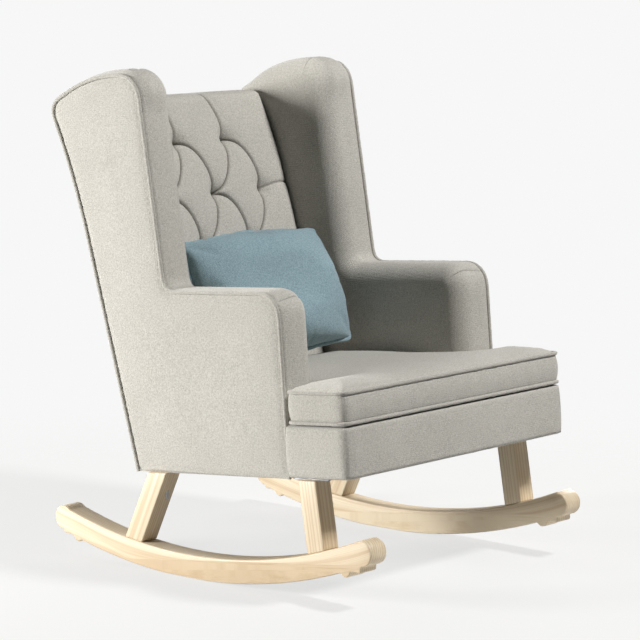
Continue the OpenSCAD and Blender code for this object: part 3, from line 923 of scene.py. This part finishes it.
def tuft_pleats(rows):
    """Folds between tufts, up to the top edge, and out to the wings, with their depths."""
    half = BACK_HIGH[0]
    top = BACK_HIGH[2]
    pleats = []
    pitch = rows[0][1][0] - rows[0][0][0]
    for upper, lower in zip(rows, rows[1:]):
        for a in upper:
            for b in lower:
                if abs(abs(a[0] - b[0]) - pitch / 2) < pitch / 10:
                    pleats.append((arc_pleat(a, b), 1.0))
    top_sweep, past_edge = 0.045, 0.02
    for x, z in rows[0]:
        rise = np.linspace(0, 1, 12)
        line = np.column_stack([x - top_sweep * rise ** 2.2, z + (top + past_edge - z) * rise])
        pleats.append((line, 0.8))
    for row in rows:
        for x, z in (row[0], row[-1]):
            if abs(x) > 0.8 * pitch:
                out = np.linspace(0, 1, 8)
                side = math.copysign(half + 0.01, x)
                line = np.column_stack([x + (side - x) * out, z + 0.009 * np.sin(out * 2.4)])
                pleats.append((line, 0.6))
    return pleats


def tufted_relief(x, z):
    """How far the front of the back lies behind its fullest surface, and how much painted shade each point
    gets from lying deep in a pleat or tuft pit.
    """
    rows = tuft_rows()
    points = np.column_stack([x, z])
    relief = np.zeros(len(points))
    painted_shade = np.zeros(len(points))
    near = near_tufts(points, rows)
    reach = 0.09
    for line, strength in tuft_pleats(rows):
        low, high = line.min(0) - reach, line.max(0) + reach
        chosen = np.all((points > low) & (points < high), axis=1)
        if not chosen.any():
            continue
        gap = distance_to(points[chosen], line, closed=False)
        pull = 0.62 + 0.38 * np.exp(-near[chosen] / 0.03)
        broad = CREASE_DEPTH * strength * pull * (0.55 * np.exp(-gap / 0.010) + 0.45 * np.exp(-gap / 0.034))
        narrow = np.exp(-(gap / 0.0024) ** 2) * strength
        relief[chosen] = np.maximum(relief[chosen], broad + PLEAT_DEPTH * narrow)
        # Painted shade along the narrow pleat line.
        painted_shade[chosen] = np.maximum(painted_shade[chosen], narrow)
    relief += TUFT_DEPTH * np.exp(-(near / 0.016) ** 1.25)
    # Painted shade in the tuft pits.
    painted_shade = np.maximum(painted_shade, np.exp(-(near / 0.006) ** 2))
    return relief, painted_shade


def back_profile(depth_front, top, columns_pitch):
    """Rows of the back from its foot up, over the rolled top edge and down behind it: depth from
    the rear, height, and how far the row faces forward (from 1 to 0)."""
    rear_depth = 0.006
    roll = 0.032
    rear_tuck = 0.02
    foot = BACK_LOW[2]
    hidden = CUSHION_HIGH[2] - 0.02
    coarse_pitch = 0.012
    rows = [(depth_front, z, 1.0) for z in np.arange(foot, hidden, coarse_pitch)]
    rows += [(depth_front, z, 1.0) for z in np.arange(hidden, top - roll, columns_pitch)]
    for angle in np.linspace(0, math.pi / 2, 20)[1:]:
        depth = depth_front - roll * (1 - math.cos(angle))
        rows.append((depth, top - roll + roll * math.sin(angle), math.cos(angle)))
    rows += [(depth, top, 0.0) for depth in np.linspace(depth_front - roll, rear_depth, 6)[1:]]
    rows.append((rear_depth, top - rear_tuck, 0.0))
    return rows


def build_back():
    """Tufted inside back, rolled over its top edge and drawn in at its sides."""
    depth_front = float(back_line(0, BACK_LOW[2]) - BACK_LOW[1])
    pitch = 0.0021
    side_round = 0.026
    side_depth = 0.018
    half = BACK_HIGH[0] - 0.001
    foot, top = BACK_LOW[2], BACK_HIGH[2]
    columns = np.linspace(-half, half, int(2 * half / pitch))
    rows = back_profile(depth_front, top, pitch)
    table = np.array([(x, z) for _, z, _ in rows for x in columns])
    reliefs, painted_shades = tufted_relief(table[:, 0], table[:, 1])
    reliefs = reliefs.reshape(len(rows), -1)
    turn = np.clip((half - np.abs(columns)) / side_round, 0, 1)
    edge = side_depth * (1 - np.sqrt(1 - (1 - turn) ** 2))
    slope = math.atan2(back_line(0, top) - back_line(0, foot), top - foot)
    points = []
    for (depth, z, share), relief in zip(rows, reliefs):
        height = np.clip((z - foot) / (top - foot), 0, 1)
        lift = 0.006 + 0.003 * height ** 2
        fall = (relief * (0.2 + 0.8 * share) + edge) * share - lift * min(1.0, 0.3 + share)
        y = back_line(depth, z) + fall * math.cos(slope)
        dip = fall * math.sin(slope) * share + relief * 0.5 * (1 - share) + edge * 0.4 * (1 - share)
        crown = 0.003 * (1 - (columns / half) ** 2) * (1 - share)
        points.append(np.column_stack([columns, y, z - dip + crown]))
    height_count, width_count = len(points), len(columns)
    last_row = (height_count - 1) * width_count
    behind = [last_row + i for i in range(width_count)] + list(range(width_count - 1, -1, -1))
    left = [k * width_count for k in range(height_count)]
    right = [i + width_count - 1 for i in reversed(left)]
    faces = loft(points, closed=False) + [behind, left, right]
    obj = make_object("tufted_back", np.vstack(points), faces, WOOL)
    # Painted shade in the pleats and tuft pits darkens the cloth colour.
    add_painted_shade(obj, painted_shades)
    finish_piece(obj, "chair", "grey_wool", "back_pad", "tuft_ties")


def build_outside_back():
    """Flat cloth over the back of the frame, narrowed between the wings above their rear corners."""
    low, high = cad_box("outside_back")
    half = high[0] - 0.0005
    half_top = BACK_HIGH[0]
    corner = REAR_PATH[0, 1] - 0.006
    heights = np.concatenate([np.arange(low[2], corner, 0.01), [corner - 0.0005, corner + 0.0005],
                              np.arange(corner + 0.005, high[2] - 0.002, 0.005), [high[2] - 0.001]])
    points = []
    for z in heights:
        reach = half if z < corner else half_top
        columns = np.linspace(-reach, reach, 80)
        gap = np.minimum(reach - np.abs(columns), min(z - low[2], high[2] - z))
        puff = 0.0035 * (1 - np.exp(-gap / 0.05)) - 0.0010 * np.exp(-gap / 0.003)
        plane = np.column_stack([columns, np.full(len(columns), z)])
        puff += 0.0006 * ripple(plane, 0.25, 21) * np.clip(gap / 0.03, 0, 1)
        points.append(np.column_stack([columns, back_line(0.0005, z) + puff, np.full(len(columns), z)]))
    obj = make_object("outside_back_cloth", np.vstack(points), loft(points, closed=False), WOOL)
    face_outward(obj, (0, 1, 0))
    finish_piece(obj, "chair", "grey_wool", "outside_back")


# ---------- the seat ----------

def top_loop(node, low_z=None):
    """Outline of a CAD node seen from above, in body axes, at its highest flat face."""
    mesh = frame["nodes"][node].data
    points = cad_points(node)
    level = points[:, 2].max() if low_z is None else low_z
    keys = [tuple(np.round(p, 5)) for p in points]
    uses = set()
    for polygon in mesh.polygons:
        ring = [keys[i] for i in polygon.vertices]
        if all(abs(p[2] - level) < 2e-5 for p in ring):
            uses.update(zip(ring, ring[1:] + ring[:1]))
    follows = {a: b for (a, b) in uses if (b, a) not in uses}
    loops = []
    while follows:
        start = next(iter(sorted(follows)))
        loop = [start]
        step = follows.pop(start)
        while step != start:
            loop.append(step)
            step = follows.pop(step)
        loops.append(np.array(loop)[:, :2])
    loop = max(loops, key=lambda p: abs(signed_area(p)))
    return loop if signed_area(loop) > 0 else loop[::-1]


def slab(loop, levels, crown_top, crown_bottom, pitch=PATCH_PITCH):
    """A stuffed slab: rings of (z, outset) between two crowned faces.
    crown_top and crown_bottom give z from points and their distance to the outline."""
    normal = inward(loop, closed=True)
    rings = []
    for z, outset in levels:
        ring = loop - normal * outset
        rings.append(np.column_stack([ring, np.full(len(ring), z)]))
    points = np.vstack(rings)
    faces = loft(rings)
    for which, crown in ((0, crown_bottom), (len(rings) - 1, crown_top)):
        ring = rings[which]
        filled, triangles = patch(ring[:, :2], pitch)
        gap = distance_to(filled, ring[:, :2])
        cap = np.column_stack([filled, crown(filled, gap)])[len(ring):]
        index = place_index(len(filled), len(ring), which * len(loop), len(points))
        faces += [[index[i] for i in t] for t in triangles]
        points = np.vstack([points, cap])
    return points, faces


def level_at(z):
    """A flat face for slab."""
    return lambda points, gap: np.full(len(points), z)


def swell(points, loop, amount, pitch=0.035, reach=0.03, seed=3):
    """Small puckers that run in from a seam and die away."""
    gap = distance_to(points[:, :2], loop)
    wave = ripple(points[:, :2], pitch, seed)
    return amount * wave * np.exp(-gap / reach) * np.clip(gap / 0.004, 0, 1)


def build_front_rail():
    """Upholstered front rail, returned round the front corners, with corner seams."""
    low, high = cad_box("front_rail_cover")
    loop = resample(top_loop("front_rail_cover"), SEAM_PITCH, closed=True)
    loop = soften(loop, 2, closed=True)
    z0, z1 = low[2], high[2]
    levels = [(z0, -0.006), (z0 + 0.0015, -0.003)]
    for t in np.linspace(0.02, 0.98, 16):
        levels.append((z0 + (z1 - z0) * t, 0.0035 * math.sin(math.pi * t) ** 0.6 - 0.0005))
    levels += [(z1 - 0.0012, -0.002), (z1, -0.006)]

    points, faces = slab(loop, levels, level_at(z1), level_at(z0), 0.016)
    corner_x = high[0] - 0.016
    front_y = low[1]
    line = np.exp(-((np.abs(points[:, 0]) - corner_x) / 0.0022) ** 2)
    on_front = points[:, 1] < front_y + 0.006
    points[:, 1] += 0.0022 * line * on_front
    points[:, 1] -= 0.0010 * ripple(points[:, [0, 2]], 0.11, 31) * on_front * (points[:, 2] > z0 + 0.01)
    obj = make_object("front_rail_upholstery", points, faces, WOOL)
    finish_piece(obj, "chair", "grey_wool", "front_rail_cover")


def build_deck():
    """Sprung seat deck under the loose cushion, crowned in the middle and tucked in at its edges."""
    low, high = cad_box("seat_deck")
    corners = np.array([(low[0], low[1]), (high[0], low[1]), (high[0], high[1]), (low[0], high[1])])
    loop = resample(corners, 0.01, closed=True)
    rim = high[2] - 0.008
    levels = [(low[2], 0.0), ((low[2] + rim) / 2, 0.0), (rim, 0.0), (rim + 0.003, -0.0015)]

    def top(points, gap):
        return rim + 0.003 + 0.0045 * (1 - np.exp(-gap / 0.05)) + 0.0005 * ripple(points, 0.12, 41)

    points, faces = slab(loop, levels, top, level_at(low[2]), 0.012)
    obj = make_object("seat_deck_upholstery", points, faces, WOOL)
    finish_piece(obj, "chair", "grey_wool", "seat_deck")


def build_dust_cover():
    """Thin dark cloth stapled under the seat, sagging a little between its edges."""
    low, high = cad_box("dust_cover")
    columns = np.linspace(low[0], high[0], 48)
    points = []
    for y in np.linspace(low[1], high[1], 52):
        gap = np.minimum(np.minimum(columns - low[0], high[0] - columns), min(y - low[1], high[1] - y))
        place = np.column_stack([columns, np.full(len(columns), y)])
        sag = 0.0025 * (1 - np.exp(-gap / 0.06)) + 0.0006 * ripple(place, 0.05, 43) * np.exp(-gap / 0.04)
        points.append(np.column_stack([place, high[2] - 0.0008 - sag]))
    obj = make_object("dust_cover_cloth", np.vstack(points), loft(points, closed=False), LINING)
    face_outward(obj, (0, 0, -1))
    finish_piece(obj, "chair", "dark_webbing", "dust_cover")


def build_cushion():
    """Loose T-shaped seat cushion: crowned faces, boxing between two welts."""
    welt_low, welt_high = cad_box("cushion_welts")
    loop = resample(top_loop("cushion_welts"), SEAM_PITCH, closed=True)
    loop = soften(loop, 3, closed=True)
    normal = inward(loop, closed=True)
    loop = loop + normal * BOXING_FULL
    seam_low, seam_high = welt_low[2] + 0.004, welt_high[2] - 0.004
    rise = CUSHION_HIGH[2] - seam_high
    levels = [(seam_low, -0.002)]
    for t in np.linspace(0.04, 0.96, 14):
        outset = BOXING_FULL * math.sin(math.pi * t) ** 0.7 - 0.001
        levels.append((seam_low + (seam_high - seam_low) * t, outset))
    levels.append((seam_high, -0.002))

    def top(points, gap):
        height = seam_high + 0.004 + (rise + 0.002) * (1 - np.exp(-gap / 0.060))
        return height + swell(points, loop, 0.0016) + 0.0012 * ripple(points, 0.19, 8)

    def bottom(points, gap):
        return seam_low - 0.0008 * (1 - np.exp(-gap / 0.05))

    points, faces = slab(loop, levels, top, bottom, 0.0085)
    side_wave = ripple(points * np.array([1.0, 1.0, 0.45]), 0.045, 17)
    boxing = (points[:, 2] > seam_low + 0.002) & (points[:, 2] < seam_high - 0.002)
    gap = distance_to(points[:, :2], loop)
    near = boxing * (gap < 0.012)
    bulk = np.exp(-((points[:, 2] - (seam_low + seam_high) / 2) / 0.03) ** 2)
    points[:, 1] -= 0.0012 * side_wave * near * bulk
    obj = make_object("seat_cushion_stuffed", points, faces, WOOL)
    finish_piece(obj, "seat_cushion", "grey_wool", "cushion_cover", "cushion_core")
    paths = []
    for z in (seam_low, seam_high):
        paths.append(np.column_stack([loop - inward(loop, True) * 0.0015, np.full(len(loop), z)]))
    welts = cord("cushion_welt_cords", paths, WELT_RADIUS, WELT_WOOL, pucker=0.7, seed=7.0, closed=True)
    finish_piece(welts, "seat_cushion", "grey_wool", "cushion_welts")


# ---------- the pillow ----------

def pillow_frame():
    """Centre and axes of the pillow, from the plane of its piping."""
    points = cad_points("pillow_piping", np.eye(3))
    centre = (points.min(0) + points.max(0)) / 2
    spread = points - points.mean(0)
    _, _, axes = np.linalg.svd(spread, full_matrices=False)
    across = axes[0] * (1 if axes[0][0] > 0 else -1)
    normal = axes[2] * (1 if axes[2][1] > 0 else -1)
    upward = np.cross(across, normal)
    upward *= 1 if upward[2] > 0 else -1
    sizes = [np.ptp(spread @ a) for a in (across, upward)]
    return centre, across, normal, upward, sizes


def inflate(obj, frames, pressure):
    """Blows a closed cloth up from within, without gravity."""
    cloth = obj.modifiers.new("cloth", "CLOTH")
    settings = cloth.settings
    settings.quality = 6
    settings.mass = 0.25
    settings.tension_stiffness = 30
    settings.compression_stiffness = 20
    settings.shear_stiffness = 8
    settings.bending_stiffness = 0.8
    settings.use_pressure = True
    settings.uniform_pressure_force = pressure
    settings.effector_weights.gravity = 0.0
    cloth.collision_settings.use_collision = False
    cloth.point_cache.frame_start = 1
    cloth.point_cache.frame_end = frames
    scene = bpy.context.scene
    for step in range(1, frames + 1):
        scene.frame_set(step)
    bake(obj)
    scene.frame_set(1)
    return obj


def pillow_panels(width, height):
    """Points and faces of two flat panels sewn at their rim, and the rim's points in order."""
    columns, rows = 64, 46
    loft_at_rest = 0.012
    bow_side, bow_end = 0.05, 0.15
    points, faces, index = [], [], {}
    for layer in (0, 1):
        for j, v in enumerate(np.linspace(-0.5, 0.5, rows)):
            for i, u in enumerate(np.linspace(-0.5, 0.5, columns)):
                if layer and (i in (0, columns - 1) or j in (0, rows - 1)):
                    index[(layer, i, j)] = index[(0, i, j)]
                    continue
                across, upward = (2 * u) ** 2, (2 * v) ** 2
                bulge = loft_at_rest * (1 - across) * (1 - upward) * (1 if layer else -1)
                index[(layer, i, j)] = len(points)
                bowed_u = u * width * (1 + bow_side * (1 - upward) * across)
                bowed_v = v * height * (1 + bow_end * (1 - across) * upward)
                points.append((bowed_u, bulge, bowed_v))
    for layer in (0, 1):
        for j in range(rows - 1):
            for i in range(columns - 1):
                quad = [index[(layer, i, j)], index[(layer, i + 1, j)],
                        index[(layer, i + 1, j + 1)], index[(layer, i, j + 1)]]
                faces.append(quad[::-1] if layer else quad)
    rim = [(i, 0) for i in range(columns)] + [(columns - 1, j) for j in range(1, rows)]
    rim += [(i, rows - 1) for i in range(columns - 2, -1, -1)] + [(0, j) for j in range(rows - 2, 0, -1)]
    return points, faces, [index[(0, i, j)] for i, j in rim]


def build_pillow():
    """Two panels sewn at a piped edge and blown up to a plump pillow."""
    centre, across, normal, upward, (width, height) = pillow_frame()
    thick = np.ptp(cad_points("pillow_cover", np.eye(3)) @ normal)
    inside_piping = 0.010
    sag = 0.10
    points, faces, rim = pillow_panels(width * 1.06, height * 1.08)
    obj = make_object("pillow_stuffed", points, faces, LINEN, axes=np.eye(3))
    inflate(obj, frames=14, pressure=3.0)
    shape = np.array([v.co for v in obj.data.vertices])
    size = np.ptp(shape, axis=0)
    shape -= (shape.max(0) + shape.min(0)) / 2
    shape *= np.array([width - inside_piping, thick * 0.97, height - inside_piping]) / size
    shape[:, 1] *= 1 + sag * np.clip(-shape[:, 2] / height, -0.5, 0.5)
    placed = centre + shape @ np.array([across, normal, upward])
    obj.data.vertices.foreach_set("co", placed.astype(np.float32).ravel())
    obj.data.materials.clear()
    obj.data.materials.append(LINEN)
    smoother = obj.modifiers.new("smooth", "SUBSURF")
    smoother.levels = 1
    smoother.render_levels = 1
    bake(obj)
    obj.data.shade_smooth()
    finish_piece(obj, "pillow", "blue_linen", "pillow_cover", "pillow_insert")
    edge = placed[rim]
    outward = edge - edge.mean(0)
    outward /= np.linalg.norm(outward, axis=1, keepdims=True)
    path = (edge + outward * 0.001) @ TO_BODY.T
    piping = cord("pillow_piping_cord", [soften(path, 2, closed=True)], 0.0052, LINEN,
                  pucker=0.8, seed=12.0, closed=True)
    finish_piece(piping, "pillow", "blue_linen", "pillow_piping")


# ---------- what stays from the CAD model ----------

def paint_frame():
    """Materials of the CAD nodes that stay in view."""
    by_slot = {"frame_timber": TIMBER, "zinc_steel": ZINC, "dark_webbing": LINING,
               "grey_wool": WOOL, "foam": WADDING, "fibre_fill": WADDING,
               "pale_ash": ASH, "blue_linen": LINEN}
    slots = {part["node"]: part["material_slot"] for part in RECORD["subparts"]}
    for node, obj in frame["nodes"].items():
        material = by_slot[slots[node]]
        for holder in obj.material_slots:
            holder.material = material


# ---------- stage ----------

def stage_floor():
    """Pale floor: it looks near white, yet throws little light back, and fades into the backdrop."""
    bpy.ops.mesh.primitive_plane_add(size=16.0, location=(0, 0, CAD_BOX[0][2]))
    floor = bpy.context.object
    floor.name = "floor"
    material, tree, surface, vector = new_material("pale_floor")
    surface.inputs["Roughness"].default_value = 0.9
    surface.inputs["Specular IOR Level"].default_value = 0.0
    seen = tree.nodes.new("ShaderNodeLightPath").outputs["Is Camera Ray"]
    tone = mix_colour(tree, "MIX", seen, (0.70, 0.70, 0.69), (0.17, 0.17, 0.169))
    link(tree, tone, surface.inputs["Base Color"])
    surface.inputs["Emission Color"].default_value = (1.0, 1.0, 0.995, 1.0)
    link(tree, math_node(tree, "MULTIPLY", seen, 0.70), surface.inputs["Emission Strength"])
    length = tree.nodes.new("ShaderNodeVectorMath")
    length.operation = "LENGTH"
    link(tree, vector, length.inputs[0])
    fade = tree.nodes.new("ShaderNodeMapRange")
    fade.interpolation_type = "SMOOTHERSTEP"
    fade.inputs["From Min"].default_value = 0.8
    fade.inputs["From Max"].default_value = 2.2
    fade.inputs["To Min"].default_value = 1.0
    fade.inputs["To Max"].default_value = 0.0
    link(tree, length.outputs["Value"], fade.inputs["Value"])
    link(tree, fade.outputs[0], surface.inputs["Alpha"])
    floor.data.materials.append(material)


def stage_world():
    """Near-white backdrop with little ambient light, so that the inside faces stay dark."""
    world = bpy.data.worlds.new("studio")
    bpy.context.scene.world = world
    world.use_nodes = True
    nodes = world.node_tree
    nodes.nodes.clear()
    out = nodes.nodes.new("ShaderNodeOutputWorld")
    seen = shader_node(nodes, "ShaderNodeBackground", Strength=1.0)
    seen.inputs["Color"].default_value = (0.93, 0.93, 0.93, 1.0)
    ambient = shader_node(nodes, "ShaderNodeBackground", Strength=0.014)
    ambient.inputs["Color"].default_value = (0.96, 0.98, 1.0, 1.0)
    path = nodes.nodes.new("ShaderNodeLightPath")
    mix = nodes.nodes.new("ShaderNodeMixShader")
    link(nodes, path.outputs["Is Camera Ray"], mix.inputs[0])
    link(nodes, ambient.outputs[0], mix.inputs[1])
    link(nodes, seen.outputs[0], mix.inputs[2])
    link(nodes, mix.outputs[0], out.inputs[0])


def around(azimuth, elevation, distance):
    """A place around the chair; azimuth 0 is in front and turns toward the chair's right side."""
    a, e = math.radians(azimuth), math.radians(elevation)
    return Vector((math.sin(a) * math.cos(e), -math.cos(a) * math.cos(e), math.sin(e))) * distance


def stage_lights():
    """A low key from the left, slightly behind; a high front light; fills at the right and behind.
    Each has an azimuth, an elevation, a distance, a size, a power and a tint."""
    middle = Vector((0, 0, 0.5))
    for name, azimuth, elevation, distance, size, power, tint in (
            ("key", -124, 9, 3.6, 0.9, 170.0, (1.0, 0.985, 0.96)),
            ("front", 17, 52, 4.2, 0.55, 185.0, (1.0, 0.99, 0.975)),
            ("side", 106, 13, 3.8, 1.6, 60.0, (1.0, 0.995, 0.985)),
            ("fill", 158, 20, 3.8, 1.8, 34.0, (0.98, 0.99, 1.0))):
        light = bpy.data.lights.new(name, "AREA")
        light.size = size
        light.energy = power
        light.color = tint
        lamp = bpy.data.objects.new(name, light)
        bpy.context.scene.collection.objects.link(lamp)
        lamp.location = middle + around(azimuth, elevation, distance)
        lamp.rotation_euler = (middle - lamp.location).to_track_quat("-Z", "Y").to_euler()


def stage_camera():
    """Long lens about 1.5 m up, ahead of the chair and to its left."""
    azimuth, elevation, distance = math.radians(49.0), math.radians(8.12), 6.70
    target = Vector((-0.006, -0.021, 0.525))
    toward = Vector((math.sin(azimuth) * math.cos(elevation), math.cos(azimuth) * math.cos(elevation),
                     -math.sin(elevation)))
    data = bpy.data.cameras.new("camera")
    data.sensor_width = 36.0
    data.lens = 172.4
    camera = bpy.data.objects.new("camera", data)
    bpy.context.scene.collection.objects.link(camera)
    camera.location = target - toward * distance
    camera.rotation_euler = toward.to_track_quat("-Z", "Y").to_euler()
    bpy.context.scene.camera = camera
    bpy.context.scene.view_settings.view_transform = "Standard"


paint_frame()
build_runners()
build_legs()
for which in (-1, 1):
    build_shell(which)
    build_outside_panel(which)
    build_side_welt(which)
build_back()
build_outside_back()
build_front_rail()
build_deck()
build_dust_cover()
build_cushion()
build_pillow()
stage_floor()
stage_world()
stage_lights()
stage_camera()
